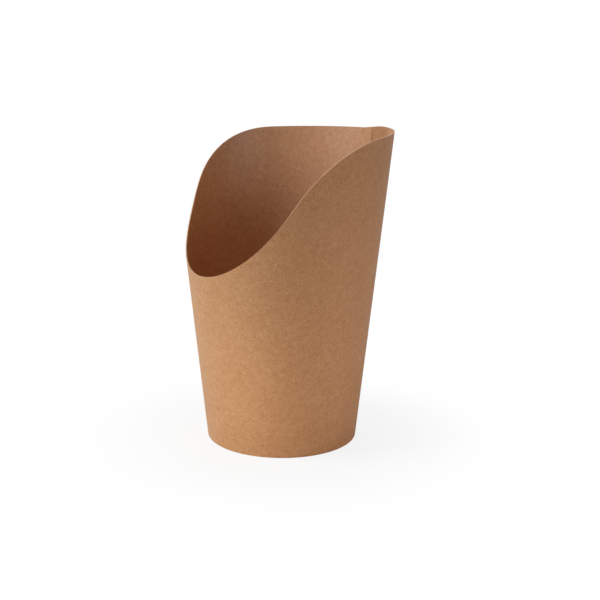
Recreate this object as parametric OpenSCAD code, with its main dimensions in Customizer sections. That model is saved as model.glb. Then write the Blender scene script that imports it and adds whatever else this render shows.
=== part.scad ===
// Paper wrap cup: a fan-shaped blank of kraft board rolled into a tapered
// cup with a scooped mouth, and a round base disc gripped inside its foot.
// Millimetres. Z is up, the table is at z = 0 and the cup's axis is the Z
// axis. The tall back, with the glued seam, faces +Y and the low lip faces -Y.

/* [Wall] */
// Outside diameter of the cone where the cup stands on the table
base_d = 60; // [50:1:75]
// Outside diameter of the cone at the height of the back
mouth_d = 86; // [78:1:100]
// Height of the inner ply's top edge at the seam, the middle of the back
back_h = 122; // [105:1:150]
// Height of the lip, the lowest point of the scooped front
front_h = 69; // [50:1:85]
// Thickness of the board that the wall is made of
wall_t = 0.4; // [0.3:0.05:0.6]

/* [Scooped rim] */
// Radius of the shoulder, where the top edge turns down into the scoop
shoulder_r = 44; // [25:1:50]
// Radius of the hollow sweep from the lip up to the shoulder
scoop_r = 160; // [110:2:220]
// Slope of the rim at the lip, seen from the side, in degrees
lip_slope = 50; // [42:1:56]
// Fall of the top edge from the seam to the shoulder, in degrees, on the
// half that ends in the inner ply
inner_fall = 1.5; // [0:0.5:6]
// The same on the half that ends in the outer ply, which is rolled askew
outer_fall = 5; // [0:0.5:6]

/* [Seam] */
// Width of the glued lap, in which the outer ply covers the inner one
lap_w = 8; // [5:0.5:12]
// How far the outer ply's top edge lies above the inner one's at the seam,
// before its corner is cut
seam_step = 1.1; // [0.2:0.1:2]
// Distance beyond the seam at which the cut of that corner begins
cut_w = 9; // [3:0.5:14]
// Slope of the cut, which hides the lap behind the inner ply, in degrees
cut_slope = 5; // [3:0.5:12]
// Depth to which the glued plies are pressed into each other
lap_press = 0.02; // [0.01:0.01:0.05]

/* [Foot] */
// Height of the hem, which is the wall's lower edge turned up inside
hem_h = 6; // [4:0.5:10]
// Outside radius of the two corners of the fold under the hem, which stays
// a little less than the board is thick
fold_r = 0.3; // [0.15:0.05:0.5]
// Room between the top of the hem and the start of the base disc's bend
hem_gap = 0.2; // [0.1:0.1:1]

/* [Base disc] */
// Thickness of the board that the base disc is made of
base_t = 0.4; // [0.3:0.05:0.6]
// Outside radius of the bend where the disc turns down into its skirt
bend_r = 0.9; // [0.7:0.1:1.5]
// Room between the skirt's lower edge and the floor of the fold
skirt_gap = 0.3; // [0.1:0.1:1]
// Glue line on each side of the skirt
glue_t = 0.05; // [0.03:0.01:0.1]

/* [Hidden] */
$fn = 180;
bend_steps = 6;      // straight pieces in each small bend of the board
shoulder_steps = 20; // straight pieces in the shoulder of the rim
hollow_step = 0.7;   // degrees of the hollow sweep to each straight piece
over = 10;           // length by which a cutting shape passes what it cuts
wall_color = [0.74, 0.58, 0.42];
base_color = [0.68, 0.52, 0.37];

taper = (mouth_d - base_d) / 2 / back_h;    // outward lean per unit of height
lean = atan(taper);
ply = wall_t / cos(lean);                   // one ply of the wall, level
lift = ply - lap_press;                     // outer ply's place beyond the inner one
skirt = base_t / cos(lean);                 // the disc's skirt, level
slot = skirt + 2 * glue_t;                  // room in the fold for the skirt
foot_w = 2 * ply + slot;                    // width of the whole fold
corner_r = min(fold_r, 0.85 * wall_t);
corner_w = corner_r / cos(lean);            // corner's centre from the face, level
blank_top = back_h + seam_step + over;      // height of the untrimmed wall
disc_top = hem_h + hem_gap + bend_r;        // height of the cup's inner floor

// Outside radius of the wall at height z
function outer(z) = base_d / 2 + taper * z;

// Points of an arc of radius r about point c, from angle a to angle b
function arc(c, r, a, b, steps) =
    [for (i = [0 : steps])
        let (t = a + (b - a) * i / steps)
        c + r * [cos(t), sin(t)]];

// Side view, as [y, z] points, of all that stays below the rim when the top
// edge falls at the angle fall from height h at the back: a hollow arc up
// from the lip, a round shoulder and a straight top edge, each tangent
function below_rim(h, fall) =
    let (
        lip = [-outer(front_h), front_h],
        back = [outer(h), h],
        hollow_c = lip + scoop_r * [-sin(lip_slope), cos(lip_slope)],
        along = [cos(fall), sin(fall)],
        inset = back + shoulder_r * [sin(fall), -cos(fall)],
        w = inset - hollow_c,
        reach = w * along - sqrt(pow(w * along, 2) - w * w + pow(shoulder_r + scoop_r, 2)),
        shoulder_c = inset - reach * along,
        meet = atan2(shoulder_c.y - hollow_c.y, shoulder_c.x - hollow_c.x))
    concat(
        [for (t = [lip_slope - 90 : hollow_step : meet - hollow_step / 2])
            hollow_c + scoop_r * [cos(t), sin(t)]],
        arc(shoulder_c, shoulder_r, meet + 180, 90 + fall, shoulder_steps),
        [back + over * along,
         [back.x + over, -over],
         [lip.x - over, -over],
         [lip.x - over, lip.y]]);

// Everything below the rim, from one side of the cup to the other
module rim_trim(h, fall) {
    rotate([90, 0, 90])
        translate([0, 0, -mouth_d])
            linear_extrude(2 * mouth_d) polygon(below_rim(h, fall));
}

// Section through the standing board, the outer corner of its fold and the
// fold's floor as far as the hem, moved outwards by out
module wall_section(out) {
    translate([out, 0])
        polygon(concat(
            [[outer(blank_top) - ply, blank_top],
             [outer(blank_top), blank_top]],
            arc([outer(corner_r) - corner_w, corner_r], corner_r, -lean, -90, bend_steps),
            [[outer(0) - ply - slot, 0],
             [outer(0) - ply - slot, ply],
             [outer(ply) - ply, ply]]));
}

// Section through the hem and the inner corner of its fold. Its floor runs
// on under the skirt, so that it also meets the lifted half of the wall.
module hem_section() {
    foot_x = outer(corner_r) - corner_w;
    polygon(concat(
        [[outer(hem_h) - ply - slot, hem_h],
         [outer(hem_h) - foot_w, hem_h]],
        arc([outer(corner_r) - foot_w + corner_w, corner_r],
            corner_r, -180 - lean, -90, bend_steps),
        [[foot_x, 0],
         [foot_x, ply],
         [outer(ply) - ply - slot, ply]]));
}

// Everything below the slanted cut that takes down the outer ply's top corner
module corner_trim() {
    translate([cut_w, 0, back_h + seam_step])
        rotate([0, -cut_slope, 0])
            translate([-mouth_d, -mouth_d, -2 * blank_top])
                cube([2 * mouth_d, 2 * mouth_d, 2 * blank_top]);
}

// The half of the wall that ends in the inner ply, on the -X side
module inner_half() {
    intersection() {
        rotate([0, 0, 90]) rotate_extrude(angle = 180) wall_section(0);
        rim_trim(back_h, inner_fall);
    }
}

// The half that ends in the outer ply, on the +X side. It opens out evenly
// from the lip, so that at the seam it lies outside the inner ply.
module outer_half() {
    intersection() {
        translate([0, lift / 2, 0])
            rotate([0, 0, -90]) rotate_extrude(angle = 180) wall_section(lift / 2);
        rim_trim(back_h + seam_step, outer_fall);
        corner_trim();
    }
}

// The outer ply past the seam, glued over the inner ply
module lap() {
    intersection() {
        rotate([0, 0, 90]) rotate_extrude(angle = 90) wall_section(lift);
        translate([-lap_w, 0, -over]) cube([lap_w, mouth_d, blank_top + over]);
        rim_trim(back_h + seam_step, outer_fall);
        corner_trim();
    }
}

module sidewall() {
    color(wall_color)
        union() {
            inner_half();
            outer_half();
            lap();
            rotate_extrude() hem_section();
        }
}

// The disc and its skirt, which follows the wall down into the fold
module base_disc() {
    rim_x = outer(0) - ply - glue_t;
    skirt_z = ply + skirt_gap;
    bend_c = [rim_x + taper * (disc_top - bend_r) - bend_r / cos(lean), disc_top - bend_r];
    color(base_color)
        rotate_extrude()
            polygon(concat(
                [[0, disc_top - base_t],
                 [0, disc_top]],
                arc(bend_c, bend_r, 90, -lean, bend_steps),
                [[rim_x + taper * skirt_z, skirt_z],
                 [rim_x + taper * skirt_z - skirt, skirt_z]],
                arc(bend_c, bend_r - base_t, -lean, 90, bend_steps)));
}

sidewall();
base_disc();
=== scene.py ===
import math
import bmesh
import bpy
from mathutils import Matrix, Vector


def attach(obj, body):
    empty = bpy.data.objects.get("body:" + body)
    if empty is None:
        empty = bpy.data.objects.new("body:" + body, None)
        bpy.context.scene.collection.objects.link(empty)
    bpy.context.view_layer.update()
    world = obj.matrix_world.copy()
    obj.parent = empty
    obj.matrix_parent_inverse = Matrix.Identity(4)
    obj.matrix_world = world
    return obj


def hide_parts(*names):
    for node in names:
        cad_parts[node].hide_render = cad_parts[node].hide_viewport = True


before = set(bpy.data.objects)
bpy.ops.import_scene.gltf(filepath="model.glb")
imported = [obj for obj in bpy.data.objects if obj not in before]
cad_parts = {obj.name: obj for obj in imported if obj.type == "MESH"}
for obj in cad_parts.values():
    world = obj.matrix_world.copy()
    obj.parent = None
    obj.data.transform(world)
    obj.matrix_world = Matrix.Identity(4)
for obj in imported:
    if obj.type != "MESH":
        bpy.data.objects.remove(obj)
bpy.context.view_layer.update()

mm = 0.001


# Board: what both pieces are cut from.

board = {
    "thickness": 0.4 * mm,
    "glueGap": 0.02 * mm,  # between two plies that lie on each other
    "edgeRound": 0.06 * mm,  # softening of the die-cut edges
    "edgeSteps": 2,
    "edgeAngle": math.radians(50),  # what turns by more than this is a cut edge
}


def meshPiece(name, bm, body="root"):
    mesh = bpy.data.meshes.new(name)
    bm.to_mesh(mesh)
    bm.free()
    for face in mesh.polygons:
        face.use_smooth = True
    piece = bpy.data.objects.new(name, mesh)
    bpy.context.scene.collection.objects.link(piece)
    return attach(piece, body)


def thicken(piece, fullGroup=None, thinShare=0.0):  # a board of true thickness with softened cut edges
    solid = piece.modifiers.new("thickness", "SOLIDIFY")
    if fullGroup:  # what is not in the group keeps only a share of the thickness
        solid.vertex_group = fullGroup
        solid.thickness_vertex_group = thinShare
    solid.thickness = board["thickness"]
    solid.offset = -1
    solid.use_even_offset = True
    solid.use_rim = True
    solid.material_offset_rim = 1
    solid.material_offset = 2
    soft = piece.modifiers.new("edges", "BEVEL")
    soft.affect = "EDGES"
    soft.width = board["edgeRound"]
    soft.segments = board["edgeSteps"]
    soft.profile = 0.5
    soft.limit_method = "ANGLE"
    soft.angle_limit = board["edgeAngle"]
    soft.harden_normals = True
    soft.material = -1


# Wall: one fan-shaped blank rolled round the axis. A turn of 0 is the back, on +Y. The board starts a
# little before it and runs by -X, the lip and +X back to +Y and over its own start.

wall = {
    "footRadius": 30.0 * mm,
    "mouthRadius": 43.0 * mm,  # at the height of the back
    "backHeight": 122.0 * mm,  # inner ply's top edge at the seam
    "lipHeight": 69.0 * mm,
    "swell": 0.22 * mm,  # by which the +X side stands out of round
    "waves": ((2, 0.0, 0.6, 0.06 * mm), (3, 1.3, 2.1, 0.036 * mm)),  # lobes, twist, phase and depth
    "ripple": (7, 4.0, 0.0, 0.021 * mm),  # the same for a ripple that comes and goes up the wall
    "ripplePace": (5, 1.0),  # how fast it comes and goes, and its phase
    "stiffShare": 0.4,  # share of the height over which the folded foot still keeps the wall true

    # Scooped rim
    "shoulderRadius": 44.0 * mm,
    "hollowRadius": 160.0 * mm,
    "lipSlope": math.radians(50),
    "innerFall": math.radians(1.5),  # fall of the top edge on the side that ends in the inner ply
    "outerFall": math.radians(5),  # and on the side that ends in the outer ply
    "easing": 3.0 * mm,  # half-width over which the rim's changes of radius are softened
    "cornerRadius": 1.1 * mm,  # of the blank's two top corners

    # Seam
    "lapWidth": 8.0 * mm,
    "seamStep": 1.1 * mm,  # outer ply's top above the inner one's, before its corner is cut
    "cutWidth": 9.0 * mm,  # where that cut begins, beyond the seam
    "cutSlope": math.radians(5),
    "cutBlend": 0.3 * mm,  # rounding where the cut begins
    "reach": 1.5 * mm,  # how far the inner ply's edge goes past the back
    "shelf": 0.8 * mm,  # how far the outer ply lies level beyond that edge
    "ramp": 7.0 * mm,  # length over which it then settles back
    "skive": 0.4,  # share of its thickness that the inner ply's edge keeps

    # Foot
    "hemHeight": 6.0 * mm,
    "foldRadius": 0.43 * mm,
    "slot": 0.5 * mm,  # room for the base disc's skirt
    "endGap": 0.25 * mm,  # left between the two ends of the hem
    "knurls": 60,  # marks of the rollers that press the hem
    "knurlDepth": 0.05 * mm,
    "knurlFade": 2,  # rows above the fold over which they fade out

    # Faces
    "columns": 240,  # round the cup, the lap apart
    "lapColumns": 10,
    "wallRows": 92,
    "hemRows": 7,
    "foldRows": 5,
    "floorRows": 2,
}

taper = (wall["mouthRadius"] - wall["footRadius"]) / wall["backHeight"]
lean = math.atan(taper)
ply = board["thickness"] / math.cos(lean)
lift = ply + board["glueGap"]
footWidth = 2 * ply + wall["slot"]
footRows = wall["hemRows"] + 2 * wall["foldRows"] + wall["floorRows"]
rimPasses, pointPasses = 16, 3  # rounds in which values that depend on each other settle


def outerRadius(z):
    return wall["footRadius"] + taper * z


def rimSeenFromSide(height, fall):  # a hollow arc, a round shoulder and a straight top edge
    hollowR, shoulderR = wall["hollowRadius"], wall["shoulderRadius"]
    lip = Vector((-outerRadius(wall["lipHeight"]), wall["lipHeight"]))
    back = Vector((outerRadius(height), height))
    hollow = lip + hollowR * Vector((-math.sin(wall["lipSlope"]), math.cos(wall["lipSlope"])))
    along = Vector((math.cos(fall), math.sin(fall)))
    inset = back + shoulderR * Vector((math.sin(fall), -math.cos(fall)))
    gap = inset - hollow
    reach = gap.dot(along) - math.sqrt(
        gap.dot(along) ** 2 - gap.length_squared + (shoulderR + hollowR) ** 2
    )
    shoulder = inset - reach * along
    meet = hollow.x + (shoulder.x - hollow.x) * hollowR / (hollowR + shoulderR)
    topStart = shoulder.x - shoulderR * math.sin(fall)

    def heightAt(y):
        if y < meet:
            return hollow.y - math.sqrt(hollowR**2 - (y - hollow.x) ** 2)
        if y < topStart:
            return shoulder.y + math.sqrt(shoulderR**2 - (y - shoulder.x) ** 2)
        return back.y + (y - back.x) * math.tan(fall)

    def easedHeightAt(y):  # a weighted mean of the heights on both sides of y
        half = wall["easing"]
        weights = {-half: 1, -half / 2: 4, 0: 2, half / 2: 4, half: 1}
        total = sum(weight * heightAt(y + shift) for shift, weight in weights.items())
        return total / sum(weights.values())

    return easedHeightAt


innerRim = rimSeenFromSide(wall["backHeight"], wall["innerFall"])
outerRim = rimSeenFromSide(wall["backHeight"] + wall["seamStep"], wall["outerFall"])


def softLower(first, second, blend):  # the lower of two heights, with the angle between them rounded
    overlap = max(blend - abs(first - second), 0.0) / blend
    return min(first, second) - overlap**2 * blend / 4


def rimHeight(turn):
    heightAt = innerRim if turn <= math.pi else outerRim
    z = wall["lipHeight"]
    for step in range(rimPasses):  # the rim's height there and the wall's radius at that height
        z = heightAt(outerRadius(z) * math.cos(turn))
    if turn <= math.pi:
        return z
    beyond = -outerRadius(z) * math.sin(turn)  # sideways from the seam, negative in the lap
    cut = wall["backHeight"] + wall["seamStep"] + (beyond - wall["cutWidth"]) * math.tan(wall["cutSlope"])
    return softLower(z, cut, wall["cutBlend"])


def corner(distance):  # how far a rounded corner of the blank lies below its edge
    radius = wall["cornerRadius"]
    if distance >= radius:
        return 0.0
    return radius - math.sqrt(radius**2 - (radius - distance) ** 2)


def eased(share):  # from 0 to 1, level at both ends
    share = min(1.0, max(0.0, share))
    return share * share * (3 - 2 * share)


def plyLift(turn, z):  # the outer ply steps out over the inner one's edge, and the +X side swells
    beyond = (2 * math.pi - turn) * outerRadius(z) - wall["reach"]
    step = lift * (1 - eased((beyond - wall["shelf"]) / wall["ramp"]))
    if math.pi < turn < 2 * math.pi:
        return step - wall["swell"] * math.sin(turn)
    return step


def waviness(turn, z):  # board never rolls quite true
    tall = z / wall["backHeight"]

    def wave(lobes, twist, phase, depth):
        return depth * math.sin(lobes * turn + phase + twist * tall)

    pace, start = wall["ripplePace"]
    ripple = wave(*wall["ripple"]) * math.sin(pace * tall + start)
    return (sum(wave(*shape) for shape in wall["waves"]) + ripple) * min(1.0, tall / wall["stiffShare"])


def edgeTurns(z):  # where the board starts, and how far its lap goes on past a full turn
    return -math.asin(wall["reach"] / outerRadius(z)), math.asin(wall["lapWidth"] / outerRadius(z))


def turnAt(column, row, z):  # lap and reach keep one width, so the turn depends on the height
    lapColumns, columns = wall["lapColumns"], wall["columns"]
    firstTurn, lapTurn = edgeTurns(z)
    if column <= lapColumns:
        return firstTurn + (lapTurn - firstTurn) * column / lapColumns
    if column <= lapColumns + columns:
        return lapTurn + (2 * math.pi - lapTurn) * (column - lapColumns) / columns
    short = wall["endGap"] * min(1.0, max(0.0, (footRows - row) / wall["foldRows"]))
    end = lapTurn - short / outerRadius(z)
    return 2 * math.pi + end * (column - lapColumns - columns) / lapColumns


def boardPath(turn, row, top):
    # Radius, height and distance along the board of a point on its outer side, from the hem up to the rim.
    hemRows, foldRows, floorRows = wall["hemRows"], wall["foldRows"], wall["floorRows"]
    bend = wall["foldRadius"]
    bendWidth = bend / math.cos(lean)
    bendRun = bend * (math.pi / 2 + lean)
    innerX = outerRadius(bend) - footWidth + bendWidth
    outerX = outerRadius(bend) - bendWidth + plyLift(turn, bend)
    floorRun = outerX - innerX
    if row <= hemRows:
        z = bend + (wall["hemHeight"] - bend) * (1 - row / hemRows)
        return outerRadius(z) - footWidth, z, bend - z - floorRun - 2 * bendRun
    row -= hemRows
    if row <= foldRows:
        part = row / foldRows
        angle = math.pi + lean + (math.pi / 2 - lean) * part
        run = -floorRun - bendRun * (2 - part)
        return innerX + bend * math.cos(angle), bend + bend * math.sin(angle), run
    row -= foldRows
    if row <= floorRows:
        part = row / floorRows
        return innerX + floorRun * part, 0.0, -floorRun * (1 - part) - bendRun
    row -= floorRows
    if row <= foldRows:
        part = row / foldRows
        angle = -math.pi / 2 + (math.pi / 2 - lean) * part
        return outerX + bend * math.cos(angle), bend + bend * math.sin(angle), -bendRun * (1 - part)
    row -= foldRows
    z = bend + (top - bend) * row / wall["wallRows"]
    return outerRadius(z) + plyLift(turn, z), z, (z - bend) / math.cos(lean)


def makeWall():
    allColumns = wall["columns"] + 2 * wall["lapColumns"]
    rows = footRows + wall["wallRows"]
    bm = bmesh.new()
    blank = bm.loops.layers.uv.new("blank")
    # A square grid gives the board's columns and rows, and each point then gets its place.
    bmesh.ops.create_grid(bm, x_segments=allColumns, y_segments=rows, size=0.5)
    flat, cell = {}, {}  # each point's place on the flat blank, and its column and row
    for vert in bm.verts:
        column = round((vert.co.x + 0.5) * allColumns)
        row = round((vert.co.y + 0.5) * rows)
        cell[vert] = (column, row)
        z = 0.0
        for step in range(pointPasses):  # the point's turn and height
            firstTurn, lapTurn = edgeTurns(z)
            turn = turnAt(column, row, z)
            top = rimHeight(turn)
            fromEdge = min(turn - firstTurn, 2 * math.pi + lapTurn - turn) * outerRadius(top)
            radius, z, run = boardPath(turn, row, top - corner(fromEdge))
        if row > footRows:
            radius += waviness(turn, z)
        elif row < wall["hemRows"]:
            fade = min(1.0, (wall["hemRows"] - row) / wall["knurlFade"])
            radius += wall["knurlDepth"] * math.cos(wall["knurls"] * turn) * fade
        vert.co = (-radius * math.sin(turn), radius * math.cos(turn), z)
        slant = wall["footRadius"] / math.sin(lean) + run
        fan = turn * math.sin(lean)
        flat[vert] = (slant * math.sin(fan), slant * math.cos(fan))
    for face in bm.faces:
        for loop in face.loops:
            loop[blank].uv = flat[loop.vert]
    # The corner that would make the fold double under the lap is cut from the blank.
    notch = [
        face for face in bm.faces
        if all(cell[v][0] <= wall["lapColumns"] and cell[v][1] <= footRows for v in face.verts)
    ]
    bmesh.ops.delete(bm, geom=notch, context="FACES")
    bm.normal_update()
    sample = max(bm.faces, key=lambda face: face.calc_center_median().x)
    if sample.normal.x < 0:  # the faces are the board's outer side
        bmesh.ops.reverse_faces(bm, faces=bm.faces)
    bm.verts.index_update()
    innerEdge = [vert.index for vert in bm.verts if cell[vert][0] == 0]
    wholeBoard = [vert.index for vert in bm.verts if cell[vert][0] > 0]
    piece = meshPiece("rolledWall", bm)
    whole = piece.vertex_groups.new(name="whole")
    whole.add(wholeBoard, 1.0, "REPLACE")
    whole.add(innerEdge, 0.0, "REPLACE")
    thicken(piece, "whole", wall["skive"])
    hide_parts("sidewall")
    return piece


# Base disc: its edge is turned down into a skirt, which the fold of the wall grips.

disc = {
    "top": 7.1 * mm,
    "bendRadius": 0.9 * mm,
    "skirtEnd": 0.7 * mm,  # height of the skirt's lower edge
    "clearance": 0.05 * mm,  # glue line outside the skirt
    "sag": 0.25 * mm,
    "puckers": 42,  # where the turned edge gathers
    "puckerDepth": 0.04 * mm,
    "rings": 14,
    "bendSteps": 6,
    "skirtSteps": 8,
    "spokes": 168,
    "merge": 0.0001 * mm,  # what lies closer than this is one point
    "level": 0.001 * mm,  # what lies less than this below the top is flat
}


def discOutline():  # upper side of the disc, from its middle to the end of the skirt, and its flat radius
    def skirtRadius(z):
        return outerRadius(z) - ply - disc["clearance"]

    bendR = disc["bendRadius"]
    centreZ = disc["top"] - bendR
    flatRadius = skirtRadius(centreZ) - bendR / math.cos(lean)  # the bend's centre lies below its end
    outline = [Vector((flatRadius * k / disc["rings"], 0, disc["top"])) for k in range(disc["rings"])]
    for k in range(disc["bendSteps"] + 1):
        angle = math.pi / 2 - (math.pi / 2 + lean) * k / disc["bendSteps"]
        x, z = flatRadius + bendR * math.cos(angle), centreZ + bendR * math.sin(angle)
        outline.append(Vector((x, 0, z)))
    topOfSkirt = outline[-1].z
    for k in range(1, disc["skirtSteps"] + 1):
        z = topOfSkirt + (disc["skirtEnd"] - topOfSkirt) * k / disc["skirtSteps"]
        outline.append(Vector((skirtRadius(z), 0, z)))
    return outline, flatRadius


def makeDisc():
    outline, flatRadius = discOutline()
    runs = [0.0]  # distance along the board from the middle to each point
    for inner, outer in zip(outline, outline[1:]):
        runs.append(runs[-1] + (outer - inner).length)
    bm = bmesh.new()
    blank = bm.loops.layers.uv.new("blank")
    chain = [bm.verts.new(point) for point in outline]
    for inner, outer in zip(chain, chain[1:]):
        bm.edges.new((inner, outer))
    bmesh.ops.spin(
        bm, geom=bm.verts[:] + bm.edges[:], cent=(0, 0, 0), axis=(0, 0, 1),
        angle=2 * math.pi, steps=disc["spokes"], use_merge=True,
    )
    bmesh.ops.remove_doubles(bm, verts=bm.verts, dist=disc["merge"])
    bmesh.ops.recalc_face_normals(bm, faces=bm.faces)
    if max(bm.faces, key=lambda face: face.calc_center_median().z).normal.z < 0:
        bmesh.ops.reverse_faces(bm, faces=bm.faces)
    runTo = {}  # the same for each point of the spun disc
    for vert in bm.verts:
        out = math.hypot(vert.co.x, vert.co.y)
        unspun = Vector((out, 0, vert.co.z))
        nearest = min(range(len(outline)), key=lambda k: (outline[k] - unspun).length)
        runTo[vert] = runs[nearest]
        below = disc["top"] - vert.co.z
        if below < disc["level"]:
            vert.co.z -= disc["sag"] * max(0.0, 1 - (out / flatRadius) ** 2)
        else:
            gather = 0.5 + 0.5 * math.cos(disc["puckers"] * math.atan2(vert.co.y, vert.co.x))
            shrink = 1 - disc["puckerDepth"] * gather * below / disc["top"] / out
            vert.co.x *= shrink
            vert.co.y *= shrink
    for face in bm.faces:
        for loop in face.loops:
            loop[blank].uv = loop.vert.co.xy.normalized() * runTo[loop.vert]
    piece = meshPiece("pressedDisc", bm)
    thicken(piece)
    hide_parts("base_disc")
    return piece


# Kraft board: brown unbleached pulp, with clouds, flocks of fibre, single fibres and a few specks.

finishes = {
    "outside": {
        "colour": (0.518, 0.251, 0.104), "contrast": 1.25,
        "roughness": 0.68, "specular": 0.35, "fuzz": 0.15,
    },
    "cutEdge": {
        "colour": (0.74, 0.455, 0.27), "contrast": 0.4,
        "roughness": 0.75, "specular": 0.3, "fuzz": 0.15,
    },
    "inside": {
        "colour": (0.532, 0.254, 0.107), "contrast": 1.4,
        "roughness": 0.44, "specular": 0.78, "fuzz": 0.0,
    },
}
paintedSeamShade = {  # painted shade: the colour of the inside is darkened in a strip beside the inner ply's edge, where the step's shade falls, and the finish there is rougher
    "start": 1.5,  # millimetres from the seam, towards +X
    "end": 12.0,
    "fade": 7.0,
    "startFade": 0.05,  # to each side of the start
    "shade": (0.80, 0.76, 0.68),
    "roughness": 0.7,
}
kraft = {
    "clouds": (11.0, 2.0, 0.5),  # size in millimetres, detail and roughness of the noise
    "flocks": (2.3, 3.0, 0.55),
    "grain": (0.62, 2.0, 0.6),
    "fibres": (1.0, 2.0, 0.55),  # size in widths and lengths of a fibre
    "fibreWidth": 0.24,
    "fibreLength": 2.6,
    "fibreTurns": (0.12, 0.95, -0.8),  # directions of the three layers of fibres, in radians
    "fibreRange": (0.5, 0.78),  # noise at which a fibre begins to show and shows in full
    "fibreMean": 0.22,  # taken off, so that fibres leave the mean tone as it is
    "toneShares": {"clouds": 0.22, "flocks": 0.62, "grain": 1.15, "fibres": 0.24},  # weights of the layers
    "darkTone": (0.78, 0.635, 0.50),  # ends of the tone, as factors on the board's colour
    "paleTone": (1.19, 1.36, 1.57),

    # Bark specks and pale flecks sit in a few of the cells, each of its own size.
    "speckSpacing": 4.2,  # millimetres
    "speckBend": 0.9,  # size of the noise that bends their outlines
    "speckSize": (0.02, 0.06),  # least size and range of sizes, as shares of the spacing
    "speckEdge": (-0.012, 0.022),  # from full to none, about that size
    "barkShare": 0.10,  # share of the cells that hold one
    "barkStrength": 0.42,
    "barkTone": (0.42, 0.36, 0.32),
    "fleckShare": 0.10,
    "fleckStrength": 0.55,
    "fleckTone": (1.5, 1.65, 1.85),

    "reliefShares": {"fibres": 0.6, "flocks": 1.2, "grain": 0.8},  # weights of the layers
    "reliefStrength": 0.6,
    "reliefDepth": 0.025 * mm,
    "fuzzRoughness": 0.5,
}


class Wire:  # a socket; arithmetic on it adds Math nodes
    def __init__(self, tree, socket=None):
        self.tree = tree
        self.socket = socket

    def node(self, kind, settings=None, inputs=None, output=0):
        made = self.tree.nodes.new("ShaderNode" + kind)
        for name, value in (settings or {}).items():
            setattr(made, name, value)
        for name, value in (inputs or {}).items():
            if isinstance(value, Wire):
                self.tree.links.new(value.socket, made.inputs[name])
            else:
                made.inputs[name].default_value = value
        return Wire(self.tree, made.outputs[output] if made.outputs else None)

    def math(self, operation, *values):
        return self.node("Math", {"operation": operation}, dict(enumerate(values)))

    def __add__(self, other):
        return self.math("ADD", self, other)

    __radd__ = __add__

    def __sub__(self, other):
        return self.math("SUBTRACT", self, other)

    def __rsub__(self, other):
        return self.math("SUBTRACT", other, self)

    def __mul__(self, other):
        return self.math("MULTIPLY", self, other)

    __rmul__ = __mul__

    def between(self, low, high):  # 0 at low, 1 at high, eased
        return self.node(
            "MapRange", {"interpolation_type": "SMOOTHSTEP"},
            {"Value": self, "From Min": low, "From Max": high},
        )

    def scaled(self, scale, turn=0.0):
        return self.node("Mapping", None, {"Vector": self, "Scale": scale, "Rotation": (0, 0, turn)})

    def noise(self, size, detail=2.0, roughness=0.5, output=0):
        return self.node(
            "TexNoise", {"noise_dimensions": "3D"},
            {"Vector": self, "Scale": 1 / size, "Detail": detail, "Roughness": roughness}, output,
        )

    def also(self, output):  # another output of the same node
        return Wire(self.tree, self.socket.node.outputs[output])

    def blend(self, first, second, how="MIX"):  # self is the factor
        return self.node(
            "Mix", {"data_type": "RGBA", "blend_type": how}, {0: self, 6: first, 7: second}, output=2
        )


def rgba(colour):
    return (*colour, 1.0)


def tinted(colour, tone):
    return rgba(min(1.0, part * factor) for part, factor in zip(colour, tone))


def inMillimetres(wire):
    return wire.scaled((1 / mm, 1 / mm, 1 / mm))


def fibreLayers(flat):
    long, wide = kraft["fibreLength"], kraft["fibreWidth"]
    fibres = None
    for turn in kraft["fibreTurns"]:
        layer = flat.scaled((1 / wide, 1 / long, 1.0), turn).noise(*kraft["fibres"])
        layer = layer.between(*kraft["fibreRange"])
        fibres = layer if fibres is None else fibres.math("MAXIMUM", fibres, layer)
    return fibres


def speckMasks(flat):
    bend = flat.noise(kraft["speckBend"], output=1)
    bent = flat.node("VectorMath", {"operation": "ADD"}, {0: flat, 1: bend})
    cells = bent.node(
        "TexVoronoi", {"feature": "F1", "voronoi_dimensions": "2D"},
        {"Vector": bent, "Scale": 1 / kraft["speckSpacing"], "Randomness": 1.0},
    )
    chance = cells.node("SeparateColor", None, {0: cells.also("Color")})
    least, spread = kraft["speckSize"]
    spot = 1 - (cells - (chance.also("Green") * spread + least)).between(*kraft["speckEdge"])
    bark = spot * chance.math("LESS_THAN", chance, kraft["barkShare"])
    flecks = spot * chance.math("GREATER_THAN", chance, 1 - kraft["fleckShare"])
    return bark, flecks


# mask of the strip of painted shade beside the inner ply's edge
def seamShadeMask(start):
    place = inMillimetres(start.node("TexCoord", None, None, "Object"))
    place = place.node("SeparateXYZ", None, {0: place})
    begin, end, blur = paintedSeamShade["start"], paintedSeamShade["end"], paintedSeamShade["startFade"]
    strip = place.between(begin - blur, begin + blur) * (1 - place.between(end, end + paintedSeamShade["fade"]))
    return strip * place.math("GREATER_THAN", place.also("Y"), 0.0)


def weightedSum(layers, shares):
    total = None
    for name, share in shares.items():
        part = layers[name] * share
        total = part if total is None else total + part
    return total


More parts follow.
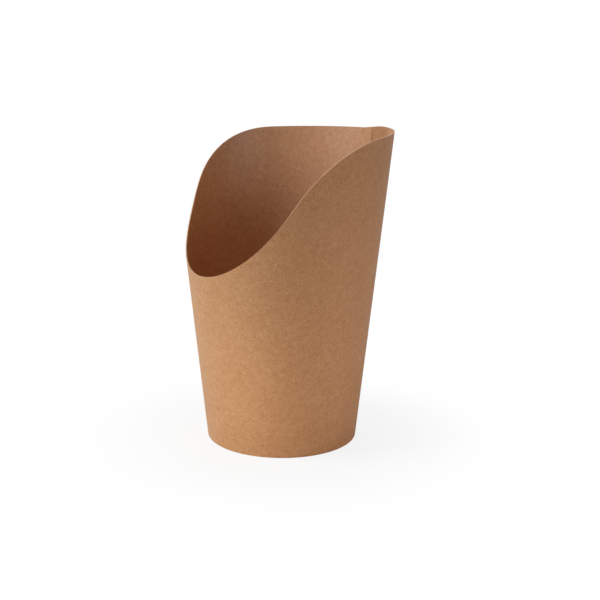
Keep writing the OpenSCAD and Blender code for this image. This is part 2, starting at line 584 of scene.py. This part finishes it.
def kraftMaterial(name, finish, seamShaded=False):
    colour, contrast, roughness = finish["colour"], finish["contrast"], finish["roughness"]
    material = bpy.data.materials.new(name)
    material.use_nodes = True
    tree = material.node_tree
    tree.nodes.clear()
    start = Wire(tree)
    flat = inMillimetres(start.node("UVMap", {"uv_map": "blank"}))
    # Noise lies about 0.5, which is also the middle of the tone.
    layers = {part: flat.noise(*kraft[part]) - 0.5 for part in ("clouds", "flocks", "grain")}
    fibres = fibreLayers(flat)

    uneven = weightedSum({**layers, "fibres": fibres - kraft["fibreMean"]}, kraft["toneShares"])
    tone = uneven * contrast + 0.5
    surface = tone.blend(tinted(colour, kraft["darkTone"]), tinted(colour, kraft["paleTone"]))
    bark, flecks = speckMasks(flat)
    bark, flecks = bark * kraft["barkStrength"] * contrast, flecks * kraft["fleckStrength"] * contrast
    surface = bark.blend(surface, tinted(colour, kraft["barkTone"]))
    surface = flecks.blend(surface, tinted(colour, kraft["fleckTone"]))

    # painted shade: darkens the colour in a strip beside the inner ply's edge, and makes the finish
    # rougher there
    if seamShaded:
        strip = seamShadeMask(start)
        surface = strip.blend(surface, rgba(paintedSeamShade["shade"]), "MULTIPLY")
        roughness = strip * (paintedSeamShade["roughness"] - roughness) + roughness

    relief = weightedSum({**layers, "fibres": fibres}, kraft["reliefShares"])
    normal = relief.node(
        "Bump", None,
        {"Height": relief, "Strength": kraft["reliefStrength"], "Distance": kraft["reliefDepth"]},
    )
    bsdf = start.node(
        "BsdfPrincipled", None,
        {
            "Base Color": surface,
            "Roughness": roughness,
            "Specular IOR Level": finish["specular"],
            "Sheen Weight": finish["fuzz"],
            "Sheen Roughness": kraft["fuzzRoughness"],
            "Normal": normal,
        },
    )
    start.node("OutputMaterial", None, {"Surface": bsdf})
    return material


# Floor, light and camera.

stage = {
    "floorSize": 3.0,  # half its width, in metres
    "floorColour": (0.86, 0.86, 0.86),
    "shadowShare": 0.14,  # how much of the floor's own shading the camera sees by the cup
    "shadowReach": (0.03, 0.095),  # metres from the axis over which that fades to plain white
    "ambient": 0.12,  # strength of the room's light on the cup, against the white that the camera sees
}
lamps = {  # bearing in degrees from the camera to the left, distance and size in metres, power in watts
    "key": {
        "bearing": 80, "elevation": 45, "distance": 1.0, "size": 0.5,
        "power": 5.7, "colour": (1, 0.98, 0.97),
    },
    "side": {
        "bearing": 80, "elevation": 20, "distance": 1.0, "size": 0.5,
        "power": 1.2, "colour": (0.96, 1, 0.98),
    },
    "window": {
        "bearing": -43, "elevation": 23, "distance": 1.0, "size": 0.3,
        "power": 0.88, "colour": (1, 0.96, 1),
    },
    "back": {
        "bearing": 180, "elevation": 35, "distance": 1.0, "size": 0.5,
        "power": 2.0, "colour": (1, 1, 1),
    },
    "lowFront": {
        "bearing": 20, "elevation": -28, "distance": 0.11, "size": 0.02,
        "power": 0.0132, "colour": (1, 0.92, 0.80),
    },
    "lowRight": {
        "bearing": -60, "elevation": -18, "distance": 0.16, "size": 0.02,
        "power": 0.036, "colour": (1, 0.90, 0.85),
    },
    "lowLeft": {
        "bearing": 60, "elevation": -18, "distance": 0.16, "size": 0.02,
        "power": 0.028, "colour": (0.72, 0.98, 1),
    },
}
cameraSpot = {
    "azimuth": 56.574,
    "elevation": 12.145,
    "distance": 408.6 * mm,
    "aim": Vector((0, 0, 60 * mm)),
    "roll": 0.00259,
    "lens": 61.53,
    "sensorWidth": 36.0,
    "shift": (0.0303, -0.0197),
    "clip": (0.01, 20.0),
}


def towards(azimuth, elevation):  # in degrees; an azimuth of 0 is on the lip's side and 90 on +X
    a, e = math.radians(azimuth), math.radians(elevation)
    return Vector((math.sin(a) * math.cos(e), -math.cos(a) * math.cos(e), math.sin(e)))


def makeCamera():
    data = bpy.data.cameras.new("photoCamera")
    data.lens = cameraSpot["lens"]
    data.sensor_width = cameraSpot["sensorWidth"]
    data.shift_x, data.shift_y = cameraSpot["shift"]
    data.clip_start, data.clip_end = cameraSpot["clip"]
    camera = bpy.data.objects.new("photoCamera", data)
    bpy.context.scene.collection.objects.link(camera)
    back = towards(cameraSpot["azimuth"], cameraSpot["elevation"])
    right = Vector((0, 0, 1)).cross(back).normalized()
    up = back.cross(right)
    c, s = math.cos(cameraSpot["roll"]), math.sin(cameraSpot["roll"])
    side, top = c * right + s * up, c * up - s * right
    place = cameraSpot["aim"] + back * cameraSpot["distance"]
    camera.matrix_world = Matrix((
        (side.x, top.x, back.x, place.x),
        (side.y, top.y, back.y, place.y),
        (side.z, top.z, back.z, place.z),
        (0, 0, 0, 1),
    ))
    bpy.context.scene.camera = camera


def makeLamps():
    for name, lamp in lamps.items():
        data = bpy.data.lights.new(name, "AREA")
        data.shape = "DISK"
        data.size = lamp["size"]
        data.energy = lamp["power"]
        data.color = lamp["colour"]
        light = bpy.data.objects.new(name, data)
        light.visible_camera = False
        bpy.context.scene.collection.objects.link(light)
        way = towards(cameraSpot["azimuth"] - lamp["bearing"], lamp["elevation"])
        light.location = cameraSpot["aim"] + way * lamp["distance"]
        light.rotation_mode = "QUATERNION"
        light.rotation_quaternion = way.to_track_quat("Z", "Y")


def makeWorld():  # white to the camera and to reflections, dim to the rest
    world = bpy.data.worlds.new("whiteRoom")
    bpy.context.scene.world = world
    world.use_nodes = True
    tree = world.node_tree
    tree.nodes.clear()
    start = Wire(tree)
    cameraRay = start.node("LightPath")
    glossyRay, clearRay = cameraRay.also("Is Glossy Ray"), cameraRay.also("Is Transmission Ray")
    seen = cameraRay.math("MAXIMUM", cameraRay, cameraRay.math("MAXIMUM", glossyRay, clearRay))
    strength = seen * (1 - stage["ambient"]) + stage["ambient"]
    light = start.node("Background", None, {"Color": (1, 1, 1, 1), "Strength": strength})
    start.node("OutputWorld", None, {"Surface": light})


def makeFloor():  # plain white to the camera, but for a share of its own shading round the foot
    bm = bmesh.new()
    bmesh.ops.create_grid(bm, x_segments=1, y_segments=1, size=stage["floorSize"])
    mesh = bpy.data.meshes.new("floor")
    bm.to_mesh(mesh)
    bm.free()
    floor = bpy.data.objects.new("floor", mesh)
    bpy.context.scene.collection.objects.link(floor)
    material = bpy.data.materials.new("paleFloor")
    material.use_nodes = True
    tree = material.node_tree
    tree.nodes.clear()
    start = Wire(tree)
    matt = start.node("BsdfDiffuse", None, {"Color": rgba(stage["floorColour"])})
    glow = start.node("Emission", None, {"Color": (1, 1, 1, 1), "Strength": 1.0})
    cameraRay = start.node("LightPath")
    spot = start.node("TexCoord", None, None, "Object")
    distance = spot.node("VectorMath", {"operation": "LENGTH"}, {0: spot}, "Value")
    away = distance.between(*stage["shadowReach"])
    white = cameraRay * (1 - (1 - away) * stage["shadowShare"])
    mix = start.node("MixShader", None, {0: white, 1: matt, 2: glow})
    start.node("OutputMaterial", None, {"Surface": mix})
    floor.data.materials.append(material)


print("wall")
wallPiece = makeWall()
print("base disc")
discPiece = makeDisc()
print("materials")
outside = kraftMaterial("kraftOutside", finishes["outside"])
cutEdge = kraftMaterial("kraftCutEdge", finishes["cutEdge"])
inside = kraftMaterial("kraftInside", finishes["inside"], True)
innerFloor = kraftMaterial("kraftInnerFloor", finishes["inside"])
for piece, faces in ((wallPiece, (outside, cutEdge, inside)), (discPiece, (innerFloor, cutEdge, outside))):
    for material in faces:  # the side that is modelled, the cut edge and the side that thickening adds
        piece.data.materials.append(material)
print("stage")
makeFloor()
makeLamps()
makeWorld()
makeCamera()
bpy.context.scene.view_settings.view_transform = "Standard"
